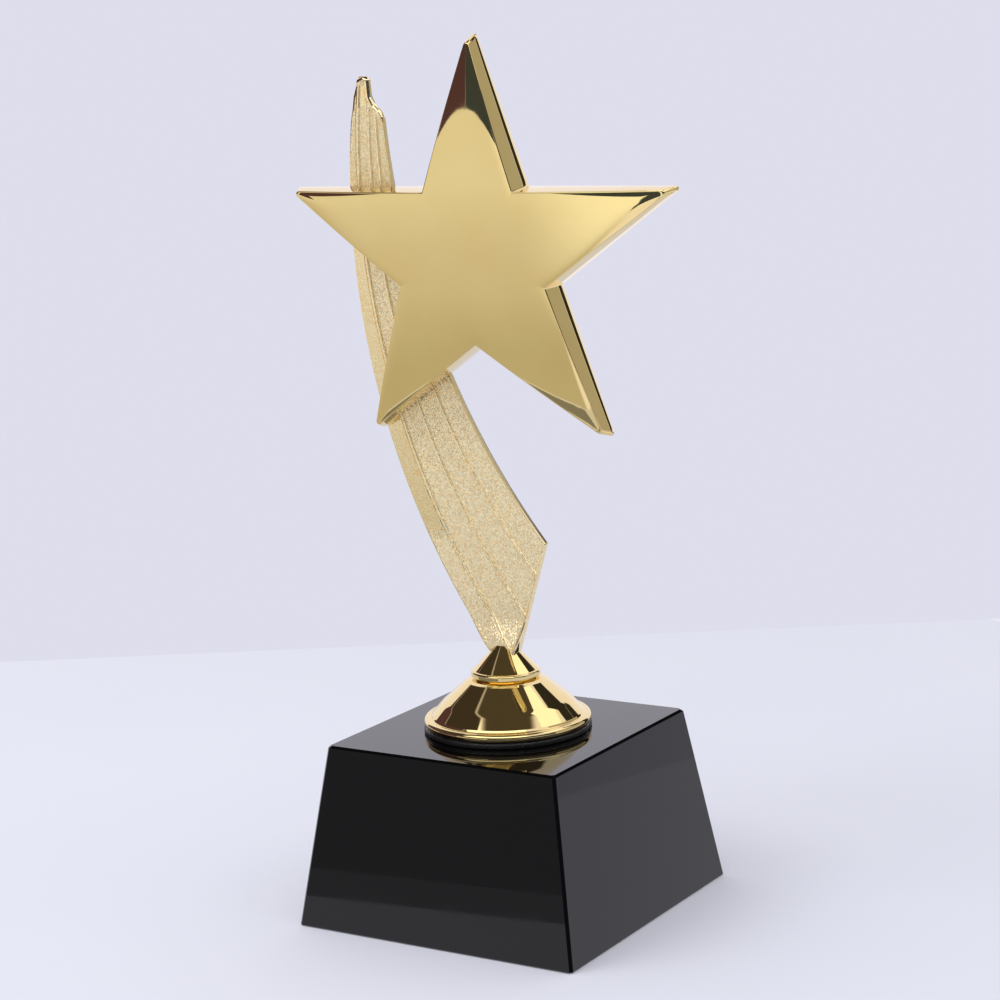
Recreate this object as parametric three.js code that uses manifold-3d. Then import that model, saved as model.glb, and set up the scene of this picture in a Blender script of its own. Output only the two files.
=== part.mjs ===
// Star trophy: a hollow gold star screwed to a curved gold ribbon, which stands on a bell-shaped foot.
// A threaded tie rod runs down from the ribbon through the foot and a black glass plinth, and a nut in the
// plinth's counterbore clamps the whole stack. Millimetres, +Z up. The origin is the centre of the plinth's
// underside and the plinth's front face looks along -Y.

import * as THREE from 'three';
import { mergeVertices } from 'three/addons/utils/BufferGeometryUtils.js';
import Module from 'manifold-3d';

// ---------------------------------------------------------------------------------------- dimensions

const GAP = 0.3; // left between pieces that touch
const RIGHT_ANGLE = Math.PI / 2;

// Plinth: a truncated pyramid of black glass.
const PLINTH_BOTTOM_SIDE = 80;
const PLINTH_TOP_SIDE = 66.2;
const PLINTH_HEIGHT = 46.2;
const PLINTH_EDGE_CUT = 0.5; // how deep the slanted corner edges are cut back
const PLINTH_RIM_CHAMFER = 0.5;
const PLINTH_FOOT_CHAMFER = 0.4;
const ROD_HOLE_RADIUS = 4;
const COUNTERBORE_RADIUS = 14;
const COUNTERBORE_DEPTH = 16;

// Hardware in the counterbore, from the top down, on an M6 rod.
const ROD_RADIUS = 3;
const WASHER_BORE_RADIUS = 3.3;
const RUBBER_WASHER_RADIUS = 11;
const RUBBER_WASHER_THICKNESS = 1.5;
const STEEL_WASHER_RADIUS = 9;
const STEEL_WASHER_THICKNESS = 1.4;
const SPRING_WASHER_RADIUS = 5.6;
const SPRING_WASHER_THICKNESS = 1.6;
const SPRING_WASHER_SLOT = 0.8;
const NUT_SIDES = 6;
const NUT_ACROSS_FLATS = 10;
const NUT_HEIGHT = 5;
const ROD_BOTTOM_Z = 3.4;
const FELT_PLUG_THICKNESS = 1.5;

// Foot: a rubber gasket and a hollow bell with a beaded rim.
const GASKET_RADIUS = 21.4;
const GASKET_BORE_RADIUS = 17;
const GASKET_THICKNESS = 0.9;
const BELL_RIM_RADIUS = 21.3;
const BELL_BEAD_RADIUS = 1.15;
const BELL_CONE_FOOT_RADIUS = 19.3;
const BELL_CONE_FOOT_Z = 50.3;
const BELL_WAIST_RADIUS = 16.4;
const BELL_WAIST_Z = 53.6;
const BELL_SHOULDER_RADIUS = 10.1;
const BELL_SHOULDER_Z = 58.9;
const BELL_TOP_Z = 59.4;
const BELL_WALL = 1.6;
const BELL_TOP_EDGE_ROUND = 0.8;
const BELL_BEAD_STEPS = 6;
const SPIGOT_RADIUS = 5.4;

// Column: the cone that sits on the bell, cast in one with the ribbon.
const COLLAR_BOTTOM_RADIUS = 8.4;
const COLLAR_RADIUS = 8.8;
const COLLAR_EDGE_BOTTOM_Z = 60.1;
const COLLAR_EDGE_TOP_Z = 61.3;
const COLLAR_NECK_RADIUS = 2.2;
const COLLAR_NECK_Z = 67.9;
const SPIGOT_BOTTOM_Z = 52;
const THREAD_HOLE_TOP_Z = 64;
const ROD_TOP_Z = 63;

// Everything above the plinth is turned a little about the vertical axis.
const FIGURE_TURN = THREE.MathUtils.degToRad(6.3);

// Ribbon: a flat plate in the figure's XZ plane. Its edges and its three ribs are circular arcs that bow
// to the left, each given by its centre and radius.
const RIBBON_LEFT_EDGE = { x: 159.3, z: 175.9, radius: 197.5 };
const RIBBON_RIBS = [
  { x: 171.2, z: 185.6, radius: 206.3, from: 72.7, to: 209 },
  { x: 167.4, z: 192.1, radius: 199.1, from: 77, to: 203.5 },
  { x: 158.1, z: 200.7, radius: 187.7, from: 87.8, to: 201.5 },
];
const RIBBON_RIGHT_EDGE = { x: 170, z: 213.9, radius: 197.8 };
const RIBBON_FRONT_Y = 0;
const RIBBON_THICKNESS = 1.8;
const RIBBON_FIELD_DEPTH = 0.45; // the bands between the ribs lie this much below them
const RIBBON_RIB_WIDTH = 1.0;
const RIBBON_BORDER_WIDTH = 1.2;
const RIBBON_ROOT_Z = 64.5;
const RIBBON_ROOT_LEFT = -2.6;
const RIBBON_ROOT_RIGHT = 3.4;
const RIBBON_LEFT_ROOT_Z = 73; // where the left edge turns in towards the root
const ROOT_FLARE = 2.4; // how far the root grows towards the front, to stand over the foot's axis
const FLARE_FULL_Z = 67;
const FLARE_TOP_Z = 75;
const RIBBON_CORNER_Z = 94.2; // where the right edge turns back towards the root
const RIBBON_LEFT_TOP_Z = 209.9;
const RIBBON_RIGHT_TOP_Z = 200.9;
// The ribbon's end climbs from its right corner to its left one, as [x, z] steps from the right corner.
const RIBBON_END = [[-0.7, 1.5], [-2.2, 2.9], [-3.2, 5], [-3.5, 9.5], [-5.2, 10.1]];
const RIBBON_STEPS = 28;

// Star: a hollow shell with a bulged face, closed from behind by a cover.
const STAR_POINTS = 5;
const STAR_TIP_RADIUS = 55.7; // where the edges of an arm would meet, at the back of the shell
const STAR_TIP_REACH = 54.1; // where each tip is cut blunt
const STAR_NOTCH_RADIUS = 21.35;
const STAR_TURN = THREE.MathUtils.degToRad(-0.45); // the star sits a little crooked
const STAR_CENTRE_X = 0.6;
const STAR_CENTRE_Z = 166.4;
const STAR_BACK_Y = -2;
const STAR_LEAN = THREE.MathUtils.degToRad(2.3); // the top leans towards the front
const STAR_DEPTH = 9.9; // from the back to the crown of the face
const STAR_FACE_RADIUS = 291; // radius of the sphere that the face belongs to
const STAR_DRAFT = 0.57; // how far each wall leans in from back to front
const STAR_WALL = 2;
const STAR_LEDGE = 1.1; // the wall is thinned to this where the cover sits
const COVER_THICKNESS = 1.5;

// The two screws that hold the star to the ribbon, as x and z in the figure.
const STAR_SCREWS = [
  { name: 'star_screw_upper', x: -30.4, z: 175 },
  { name: 'star_screw_lower', x: -18.6, z: 141 },
];
const SCREW_RADIUS = 1.45;
const SCREW_HOLE_RADIUS = 1.75;
const SCREW_HEAD_RADIUS = 2.8;
const SCREW_HEAD_HEIGHT = 1.8;
const SCREW_SLOT_WIDTH = 0.8;
const SCREW_SLOT_DEPTH = 0.8;
const SCREW_BITE = 4.2; // how far a screw reaches into the star, past its back
const BOSS_RADIUS = 3.2;
const RIBBON_SCREW_HOLE_RADIUS = 2;

const ROUND_SIDES = 48;
const SMALL_ROUND_SIDES = 24;
const FACE_SIDES = 60;
const FACE_STEPS = 8;
const CUT_PAST = 1; // how far a cutting solid runs past the face it cuts
const FAR = 20; // well past the star's back and front

// ----------------------------------------------------------------------------------------- materials

function material(color, roughness, metalness) {
  return new THREE.MeshStandardMaterial({ color, roughness, metalness });
}

const polishedGold = () => material(0xe3c069, 0.12, 1);
const glitterGold = () => material(0xdcc084, 0.45, 1);
const blackGlass = () => material(0x101014, 0.05, 0);
const blackRubber = () => material(0x18181a, 0.8, 0);
const plainSteel = () => material(0xb8bcc0, 0.35, 1);
const darkFelt = () => material(0x1c1c20, 0.95, 0);

// ------------------------------------------------------------------------------------ solid geometry

const wasm = await Module();
wasm.setup();

function toSolid(geometry) {
  const bare = geometry.clone();
  bare.deleteAttribute('normal');
  bare.deleteAttribute('uv');
  const merged = mergeVertices(bare, 1e-4);
  return new wasm.Manifold(new wasm.Mesh({
    numProp: 3,
    vertProperties: new Float32Array(merged.attributes.position.array),
    triVerts: new Uint32Array(merged.index.array),
  }));
}

function toGeometry(solid) {
  const mesh = solid.getMesh();
  const geometry = new THREE.BufferGeometry();
  geometry.setAttribute('position', new THREE.BufferAttribute(mesh.vertProperties, 3));
  geometry.setIndex(new THREE.BufferAttribute(mesh.triVerts, 1));
  geometry.computeVertexNormals();
  return geometry;
}

function part(name, solid, surface) {
  const mesh = new THREE.Mesh(toGeometry(solid), surface);
  mesh.name = name;
  return mesh;
}

// A solid of revolution about Z from [radius, z] points that start and end on the axis or close on
// themselves, listed from the bottom up with the outside on the right.
function turned(profile, sides = ROUND_SIDES) {
  const points = profile.map(([radius, z]) => new THREE.Vector2(radius, z));
  return toSolid(new THREE.LatheGeometry(points, sides).rotateX(RIGHT_ANGLE));
}

function disc(radius, bottom, top, sides = ROUND_SIDES) {
  return turned([[0, bottom], [radius, bottom], [radius, top], [0, top]], sides);
}

function ring(radius, bore, bottom, top, sides = ROUND_SIDES) {
  return turned([[bore, bottom], [radius, bottom], [radius, top], [bore, top], [bore, bottom]], sides);
}

// A square frustum between two heights, given by half its width at each. turn is about Z.
function frustum(bottomHalf, topHalf, bottom, top, turn = 0) {
  const geometry = new THREE.CylinderGeometry(
    topHalf * Math.SQRT2, bottomHalf * Math.SQRT2, top - bottom, 4, 1,
  );
  geometry.rotateY(Math.PI / 4).rotateX(RIGHT_ANGLE).rotateZ(turn);
  return toSolid(geometry.translate(0, 0, (bottom + top) / 2));
}

// A flat outline of [x, z] points pushed back from y = front to y = back.
function plate(outline, front, back) {
  const shape = new THREE.Shape(outline.map(([x, z]) => new THREE.Vector2(x, z)));
  const geometry = new THREE.ExtrudeGeometry(shape, { depth: back - front, bevelEnabled: false });
  return toSolid(geometry.rotateX(RIGHT_ANGLE).translate(0, back, 0));
}

// -------------------------------------------------------------------------------------------- plinth

function plinth() {
  const bottomHalf = PLINTH_BOTTOM_SIDE / 2;
  const topHalf = PLINTH_TOP_SIDE / 2;
  const body = frustum(bottomHalf, topHalf, 0, PLINTH_HEIGHT);
  const corners = frustum(
    bottomHalf * Math.SQRT2 - PLINTH_EDGE_CUT, topHalf * Math.SQRT2 - PLINTH_EDGE_CUT,
    0, PLINTH_HEIGHT, Math.PI / 4,
  );
  const rimHalf = topHalf - PLINTH_RIM_CHAMFER;
  const rim = frustum(rimHalf + PLINTH_HEIGHT, rimHalf, 0, PLINTH_HEIGHT);
  const footHalf = bottomHalf - PLINTH_FOOT_CHAMFER;
  const foot = frustum(footHalf, footHalf + PLINTH_HEIGHT, 0, PLINTH_HEIGHT);
  return body.intersect(corners).intersect(rim).intersect(foot)
    .subtract(disc(ROD_HOLE_RADIUS, -CUT_PAST, PLINTH_HEIGHT + CUT_PAST))
    .subtract(disc(COUNTERBORE_RADIUS, -CUT_PAST, COUNTERBORE_DEPTH));
}

// ------------------------------------------------------------------------------------------ hardware

// The clamping stack hangs from the counterbore's ceiling, each piece one gap below the last.
function clampingStack() {
  const rubberTop = COUNTERBORE_DEPTH - GAP;
  const steelTop = rubberTop - RUBBER_WASHER_THICKNESS - GAP;
  const springTop = steelTop - STEEL_WASHER_THICKNESS - GAP;
  const nutTop = springTop - SPRING_WASHER_THICKNESS - GAP;
  return [
    part('rubber_washer', washer(RUBBER_WASHER_RADIUS, RUBBER_WASHER_THICKNESS, rubberTop), blackRubber()),
    part('steel_washer', washer(STEEL_WASHER_RADIUS, STEEL_WASHER_THICKNESS, steelTop), plainSteel()),
    part('spring_washer', springWasher(springTop), plainSteel()),
    part('hex_nut', hexNut(nutTop), plainSteel()),
  ];
}

function washer(radius, thickness, top) {
  return ring(radius, WASHER_BORE_RADIUS, top - thickness, top);
}

function springWasher(top) {
  const height = SPRING_WASHER_THICKNESS + 2 * CUT_PAST;
  const slot = new THREE.BoxGeometry(SPRING_WASHER_SLOT, SPRING_WASHER_RADIUS, height);
  slot.translate(0, SPRING_WASHER_RADIUS, top - SPRING_WASHER_THICKNESS / 2);
  return washer(SPRING_WASHER_RADIUS, SPRING_WASHER_THICKNESS, top).subtract(toSolid(slot));
}

function hexNut(top) {
  const cornerRadius = NUT_ACROSS_FLATS / 2 / Math.cos(Math.PI / NUT_SIDES);
  return disc(cornerRadius, top - NUT_HEIGHT, top, NUT_SIDES)
    .subtract(disc(WASHER_BORE_RADIUS, 0, COUNTERBORE_DEPTH, SMALL_ROUND_SIDES));
}

function tieRod() {
  return disc(ROD_RADIUS, ROD_BOTTOM_Z, ROD_TOP_Z, SMALL_ROUND_SIDES);
}

function feltPlug() {
  return disc(COUNTERBORE_RADIUS - GAP, GAP, GAP + FELT_PLUG_THICKNESS);
}

// ---------------------------------------------------------------------------------------------- foot

const GASKET_TOP_Z = PLINTH_HEIGHT + GAP + GASKET_THICKNESS;
const BELL_BOTTOM_Z = GASKET_TOP_Z + GAP;

function gasket() {
  return ring(GASKET_RADIUS, GASKET_BORE_RADIUS, PLINTH_HEIGHT + GAP, GASKET_TOP_Z);
}

// Points of a round bead in a profile, from its underside round to its top.
function bead(centreRadius, centreZ, radius, steps) {
  const points = [];
  for (let step = 0; step <= steps; step += 1) {
    const angle = -RIGHT_ANGLE + (Math.PI * step) / steps;
    points.push([centreRadius + radius * Math.cos(angle), centreZ + radius * Math.sin(angle)]);
  }
  return points;
}

function bellFoot() {
  const beadZ = BELL_BOTTOM_Z + BELL_BEAD_RADIUS;
  const bore = SPIGOT_RADIUS + GAP;
  return turned([
    [BELL_CONE_FOOT_RADIUS - BELL_WALL, BELL_BOTTOM_Z],
    ...bead(BELL_RIM_RADIUS - BELL_BEAD_RADIUS, beadZ, BELL_BEAD_RADIUS, BELL_BEAD_STEPS),
    [BELL_CONE_FOOT_RADIUS, BELL_CONE_FOOT_Z],
    [BELL_WAIST_RADIUS, BELL_WAIST_Z],
    [BELL_SHOULDER_RADIUS, BELL_SHOULDER_Z],
    [BELL_SHOULDER_RADIUS - BELL_TOP_EDGE_ROUND, BELL_TOP_Z],
    [bore, BELL_TOP_Z],
    [bore, BELL_TOP_Z - BELL_WALL],
    [BELL_SHOULDER_RADIUS - BELL_WALL, BELL_SHOULDER_Z - BELL_WALL],
    [BELL_WAIST_RADIUS - BELL_WALL, BELL_WAIST_Z - BELL_WALL],
    [BELL_CONE_FOOT_RADIUS - BELL_WALL, BELL_CONE_FOOT_Z - BELL_WALL],
    [BELL_CONE_FOOT_RADIUS - BELL_WALL, BELL_BOTTOM_Z],
  ]);
}

// -------------------------------------------------------------------------------------------- ribbon

// How far left an arc reaches at a height.
function arcX(arc, z) {
  return arc.x - Math.sqrt(arc.radius ** 2 - (z - arc.z) ** 2);
}

// Points along an arc, moved sideways by shift.
function arcPoints(arc, from, to, shift = 0) {
  const points = [];
  for (let step = 0; step <= RIBBON_STEPS; step += 1) {
    const z = from + ((to - from) * step) / RIBBON_STEPS;
    points.push([arcX(arc, z) + shift, z]);
  }
  return points;
}

// The ribbon's outline, anticlockwise from the root, drawn in by inset on the sides and the end. The
// end steps down from the left to the right.
function ribbonOutline(inset) {
  const leftTopZ = RIBBON_LEFT_TOP_Z - inset;
  const rightTopZ = RIBBON_RIGHT_TOP_Z - inset;
  const endX = arcX(RIBBON_RIGHT_EDGE, rightTopZ) - inset;
  return [
    [RIBBON_ROOT_LEFT + inset, RIBBON_ROOT_Z],
    [RIBBON_ROOT_RIGHT - inset, RIBBON_ROOT_Z],
    ...arcPoints(RIBBON_RIGHT_EDGE, RIBBON_CORNER_Z, rightTopZ, -inset),
    ...RIBBON_END.map(([x, z]) => [endX + x, rightTopZ + z]),
    ...arcPoints(RIBBON_LEFT_EDGE, leftTopZ, RIBBON_LEFT_ROOT_Z, inset),
  ];
}

// A raised rib that follows its arc.
function ribbonRib(arc) {
  const half = RIBBON_RIB_WIDTH / 2;
  const outline = [
    ...arcPoints(arc, arc.from, arc.to, half),
    ...arcPoints(arc, arc.to, arc.from, -half),
  ];
  return plate(outline, RIBBON_FRONT_Y, RIBBON_FRONT_Y + RIBBON_THICKNESS / 2);
}

// The wedge that thickens the ribbon's root towards the front.
function rootWedge() {
  const side = [
    [RIBBON_FRONT_Y + RIBBON_THICKNESS / 2, RIBBON_ROOT_Z],
    [RIBBON_FRONT_Y + RIBBON_THICKNESS / 2, FLARE_TOP_Z],
    [RIBBON_FRONT_Y, FLARE_TOP_Z],
    [RIBBON_FRONT_Y - ROOT_FLARE, FLARE_FULL_Z],
    [RIBBON_FRONT_Y - ROOT_FLARE, RIBBON_ROOT_Z],
  ];
  const sideways = plate(side, -FAR, FAR).rotate([0, 0, 90]);
  return plate(ribbonOutline(0), RIBBON_FRONT_Y - FAR, RIBBON_FRONT_Y + RIBBON_THICKNESS).intersect(sideways);
}

// The column's turned foot: the cone, its rolled lower edge and the spigot that enters the bell.
function collar() {
  return turned([
    [0, SPIGOT_BOTTOM_Z],
    [SPIGOT_RADIUS, SPIGOT_BOTTOM_Z],
    [SPIGOT_RADIUS, BELL_TOP_Z + GAP],
    [COLLAR_BOTTOM_RADIUS, BELL_TOP_Z + GAP],
    [COLLAR_RADIUS, COLLAR_EDGE_BOTTOM_Z],
    [COLLAR_RADIUS, COLLAR_EDGE_TOP_Z],
    [COLLAR_NECK_RADIUS, COLLAR_NECK_Z],
    [0, COLLAR_NECK_Z],
  ]);
}

// A short cylinder along Y through the plate at each screw.
function ribbonScrewHole({ x, z }) {
  const length = RIBBON_THICKNESS + 2 * CUT_PAST;
  const hole = new THREE.CylinderGeometry(
    RIBBON_SCREW_HOLE_RADIUS, RIBBON_SCREW_HOLE_RADIUS, length, SMALL_ROUND_SIDES,
  );
  return toSolid(hole.translate(x, RIBBON_FRONT_Y + RIBBON_THICKNESS / 2, z));
}

function ribbonColumn() {
  const back = RIBBON_FRONT_Y + RIBBON_THICKNESS;
  const fieldRecess = plate(
    ribbonOutline(RIBBON_BORDER_WIDTH),
    RIBBON_FRONT_Y - CUT_PAST,
    RIBBON_FRONT_Y + RIBBON_FIELD_DEPTH,
  );
  let column = plate(ribbonOutline(0), RIBBON_FRONT_Y, back).subtract(fieldRecess).add(rootWedge());
  for (const rib of RIBBON_RIBS) {
    column = column.add(ribbonRib(rib));
  }
  for (const screw of STAR_SCREWS) {
    column = column.subtract(ribbonScrewHole(screw));
  }
  const threadHole = disc(
    ROD_RADIUS + GAP, SPIGOT_BOTTOM_Z - CUT_PAST, THREAD_HOLE_TOP_Z, SMALL_ROUND_SIDES,
  );
  return column.add(collar()).subtract(threadHole);
}

// ---------------------------------------------------------------------------------------------- star

// The distance from the star's centre to each of its straight edges.
const STAR_EDGE_DISTANCE = (() => {
  const half = Math.PI / STAR_POINTS;
  const edge = Math.sqrt(
    STAR_TIP_RADIUS ** 2 + STAR_NOTCH_RADIUS ** 2
    - 2 * STAR_TIP_RADIUS * STAR_NOTCH_RADIUS * Math.cos(half),
  );
  return (STAR_TIP_RADIUS * STAR_NOTCH_RADIUS * Math.sin(half)) / edge;
})();

// How much the star shrinks when every edge moves in by a distance.
const starScale = (inset) => (STAR_EDGE_DISTANCE - inset) / STAR_EDGE_DISTANCE;

// The star's outline: each arm runs to a blunt tip between two notches.
function starOutline() {
  const half = Math.PI / STAR_POINTS;
  const notchReach = STAR_NOTCH_RADIUS * Math.cos(half);
  const tipShare = (STAR_TIP_RADIUS - STAR_TIP_REACH) / (STAR_TIP_RADIUS - notchReach);
  const tipHalfWidth = STAR_NOTCH_RADIUS * Math.sin(half) * tipShare;
  const arm = [[STAR_TIP_REACH, -tipHalfWidth], [STAR_TIP_REACH, tipHalfWidth]];
  const outline = [];
  for (let index = 0; index < STAR_POINTS; index += 1) {
    const angle = RIGHT_ANGLE + STAR_TURN + 2 * half * index;
    const centre = new THREE.Vector2();
    outline.push(...arm.map(([along, across]) => new THREE.Vector2(along, across).rotateAround(centre, angle)));
    outline.push(new THREE.Vector2(STAR_NOTCH_RADIUS, 0).rotateAround(centre, angle + half));
  }
  return outline;
}

// A star prism between two depths in the star's own frame: X to the right, Y up, Z out of its face. The
// scales are the size of its outline at the back and at the front.
function starPrism(back, front, backScale, frontScale) {
  const extent = { depth: front - back, bevelEnabled: false };
  const geometry = new THREE.ExtrudeGeometry(new THREE.Shape(starOutline()), extent);
  geometry.translate(0, 0, back);
  const position = geometry.attributes.position;
  for (let index = 0; index < position.count; index += 1) {
    const z = position.getZ(index);
    const scale = z - back < (front - back) / 2 ? backScale : frontScale;
    position.setXY(index, position.getX(index) * scale, position.getY(index) * scale);
  }
  return toSolid(geometry);
}

// The bulge of the face: everything behind a sphere whose crown is at the given depth.
function behindFace(crown) {
  const cap = [];
  const reach = Math.asin((STAR_TIP_RADIUS + CUT_PAST) / STAR_FACE_RADIUS);
  for (let step = 0; step < FACE_STEPS; step += 1) {
    const angle = reach * (1 - step / FACE_STEPS);
    const drop = STAR_FACE_RADIUS * (1 - Math.cos(angle));
    cap.push([STAR_FACE_RADIUS * Math.sin(angle), crown - drop]);
  }
  const rim = cap[0][0];
  return turned([[0, -FAR], [rim, -FAR], ...cap, [0, crown]], FACE_SIDES);
}

function alongStarZ(radius, bottom, top) {
  return disc(radius, bottom, top, SMALL_ROUND_SIDES);
}

// Where a screw meets the star's back, in the star's own frame.
function screwPlace({ x, z }) {
  return { x: x - STAR_CENTRE_X, y: (z - STAR_CENTRE_Z) / Math.cos(STAR_LEAN) };
}

function starShell() {
  const frontScale = starScale(STAR_DRAFT);
  const outer = starPrism(0, STAR_DEPTH + CUT_PAST, 1, frontScale).intersect(behindFace(STAR_DEPTH));
  const pocket = starPrism(-CUT_PAST, STAR_DEPTH, starScale(STAR_WALL), starScale(STAR_WALL + STAR_DRAFT))
    .intersect(behindFace(STAR_DEPTH - STAR_WALL));
  const ledge = starPrism(-CUT_PAST, COVER_THICKNESS, starScale(STAR_LEDGE), starScale(STAR_LEDGE));
  let shell = outer.subtract(pocket).subtract(ledge);
  for (const screw of STAR_SCREWS) {
    const { x, y } = screwPlace(screw);
    const boss = alongStarZ(BOSS_RADIUS, COVER_THICKNESS + GAP, STAR_DEPTH).translate(x, y, 0);
    const hole = alongStarZ(SCREW_HOLE_RADIUS, -CUT_PAST, SCREW_BITE + GAP).translate(x, y, 0);
    shell = shell.add(boss.intersect(outer)).subtract(hole);
  }
  return shell;
}

// How far the star's back stands off the ribbon at a screw, along the star's own depth.
function standOff({ z }) {
  const backY = STAR_BACK_Y - (z - STAR_CENTRE_Z) * Math.tan(STAR_LEAN);
  return (RIBBON_FRONT_Y - backY) / Math.cos(STAR_LEAN);
}

function starBackCover() {
  const inset = STAR_LEDGE + GAP;
  let cover = starPrism(0, COVER_THICKNESS - GAP, starScale(inset), starScale(inset));
  for (const screw of STAR_SCREWS) {
    const { x, y } = screwPlace(screw);
    const padLength = standOff(screw) - GAP - BOSS_RADIUS * Math.tan(STAR_LEAN);
    cover = cover.add(alongStarZ(BOSS_RADIUS, -padLength, COVER_THICKNESS / 2).translate(x, y, 0));
    cover = cover.subtract(alongStarZ(SCREW_HOLE_RADIUS, -FAR, FAR).translate(x, y, 0));
  }
  return cover;
}

// A screw along the star's depth: its head behind the ribbon, its shank up into the star's boss.
function starScrew(screw) {
  const { x, y } = screwPlace(screw);
  const headTop = -(standOff(screw) + RIBBON_THICKNESS + GAP + SCREW_HEAD_RADIUS * Math.tan(STAR_LEAN));
  const head = alongStarZ(SCREW_HEAD_RADIUS, headTop - SCREW_HEAD_HEIGHT, headTop);
  const slotLength = 2 * (SCREW_HEAD_RADIUS + CUT_PAST);
  const slot = new THREE.BoxGeometry(slotLength, SCREW_SLOT_WIDTH, 2 * SCREW_SLOT_DEPTH);
  slot.translate(0, 0, headTop - SCREW_HEAD_HEIGHT);
  const shank = alongStarZ(SCREW_RADIUS, headTop - SCREW_HEAD_HEIGHT / 2, SCREW_BITE);
  return head.subtract(toSolid(slot)).add(shank).translate(x, y, 0);
}

function starAssembly() {
  const star = new THREE.Group();
  star.position.set(STAR_CENTRE_X, STAR_BACK_Y, STAR_CENTRE_Z);
  star.rotation.x = RIGHT_ANGLE + STAR_LEAN;
  star.add(part('star_shell', starShell(), polishedGold()));
  star.add(part('star_back_cover', starBackCover(), polishedGold()));
  for (const screw of STAR_SCREWS) {
    star.add(part(screw.name, starScrew(screw), plainSteel()));
  }
  return star;
}

// ------------------------------------------------------------------------------------------ assembly

const figure = new THREE.Group();
figure.rotation.z = FIGURE_TURN;
figure.add(part('ribbon_column', ribbonColumn(), glitterGold()));
figure.add(part('bell_foot', bellFoot(), polishedGold()));
figure.add(starAssembly());

const trophy = new THREE.Group();
trophy.add(part('plinth', plinth(), blackGlass()));
trophy.add(part('foot_gasket', gasket(), blackRubber()));
trophy.add(part('tie_rod', tieRod(), plainSteel()));
trophy.add(...clampingStack());
trophy.add(part('felt_plug', feltPlug(), darkFelt()));
trophy.add(figure);

export default trophy;
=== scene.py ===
"""Star trophy: the fine surfaces, materials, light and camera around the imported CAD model.

Shapes are worked out in millimetres and turned into metres when their meshes are made. Everything above
the plinth shares the figure's frame, which is the row frame turned a little about the vertical axis. The
star has a frame of its own: X to the right, Y up its face and Z out of it.
"""

import math

import bpy
import numpy as np
from mathutils import Matrix, Vector


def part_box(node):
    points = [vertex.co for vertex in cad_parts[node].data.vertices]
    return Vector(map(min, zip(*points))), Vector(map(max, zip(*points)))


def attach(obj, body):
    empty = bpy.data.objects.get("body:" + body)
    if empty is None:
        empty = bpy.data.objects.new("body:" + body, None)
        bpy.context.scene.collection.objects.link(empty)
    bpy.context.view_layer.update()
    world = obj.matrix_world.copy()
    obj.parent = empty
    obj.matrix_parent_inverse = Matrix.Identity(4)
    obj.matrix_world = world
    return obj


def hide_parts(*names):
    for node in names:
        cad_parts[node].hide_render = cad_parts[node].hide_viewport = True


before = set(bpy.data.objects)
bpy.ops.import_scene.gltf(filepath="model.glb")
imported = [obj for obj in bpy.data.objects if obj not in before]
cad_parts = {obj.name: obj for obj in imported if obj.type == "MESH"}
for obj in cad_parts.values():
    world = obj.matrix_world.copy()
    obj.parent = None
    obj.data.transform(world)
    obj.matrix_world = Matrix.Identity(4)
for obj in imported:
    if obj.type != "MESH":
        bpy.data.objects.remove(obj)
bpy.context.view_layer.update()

MM = 0.001
TAU = 2 * math.pi
random = np.random.default_rng(11)


def box_mm(node):
    """The lowest and highest corners of a CAD node, in millimetres."""
    low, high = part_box(node)
    return low / MM, high / MM


# ---------------------------------------------------------------------------------------- dimensions

_, PLINTH_HIGH = box_mm("plinth")
PLINTH_HEIGHT = PLINTH_HIGH.z
PLINTH_BOTTOM_HALF = PLINTH_HIGH.x + 0.05  # where the sides would meet the ground, uncut
PLINTH_TOP_HALF = 33.1
PLINTH_EDGE_CUT = 0.5  # how deep the slanted corner edges are cut back
PLINTH_RIM_CHAMFER = 0.5
PLINTH_FOOT_CHAMFER = 0.4
ROD_HOLE_RADIUS = 4
COUNTERBORE_RADIUS = 14
COUNTERBORE_DEPTH = 16

BELL_LOW, BELL_HIGH = box_mm("bell_foot")
BELL_RIM_RADIUS = BELL_HIGH.x
BELL_BOTTOM_Z = BELL_LOW.z
BELL_TOP_Z = BELL_HIGH.z
BELL_WALL = 1.6
SPIGOT_RADIUS = 5.4
GASKET_RADIUS = box_mm("foot_gasket")[1].x
GASKET_BORE_RADIUS = 17

FIGURE_TURN = math.radians(6.3)

# The ribbon's edges and ribs are arcs in the figure's XZ plane that bow to the left.
RIBBON_LEFT_EDGE = (159.3, 175.9, 197.5)  # centre x, centre z, radius
RIBBON_RIBS = [(171.2, 185.6, 206.3), (167.4, 192.1, 199.1), (158.1, 200.7, 187.7)]
RIBBON_RIGHT_EDGE = (170, 213.9, 197.8)
RIBBON_THICKNESS = 1.8
RIBBON_ROOT_Z = 64.5
RIBBON_ROOT_LEFT = -2.6
RIBBON_ROOT_RIGHT = 3.4
RIBBON_LEFT_ROOT_Z = 73
ROOT_FLARE = 2.4  # how far the root grows towards the front
FLARE_FULL_Z = 67
FLARE_TOP_Z = 75
RIBBON_CORNER_Z = 94.2
RIBBON_LEFT_TOP_Z = 209.9
RIBBON_RIGHT_TOP_Z = 200.9
RIBBON_APEX = (-5.2, 10.1)  # from the end's right corner
RIBBON_END = [(-0.7, 1.5), (-2.2, 2.9), (-3.2, 5), (-3.5, 9.5)]

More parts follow.
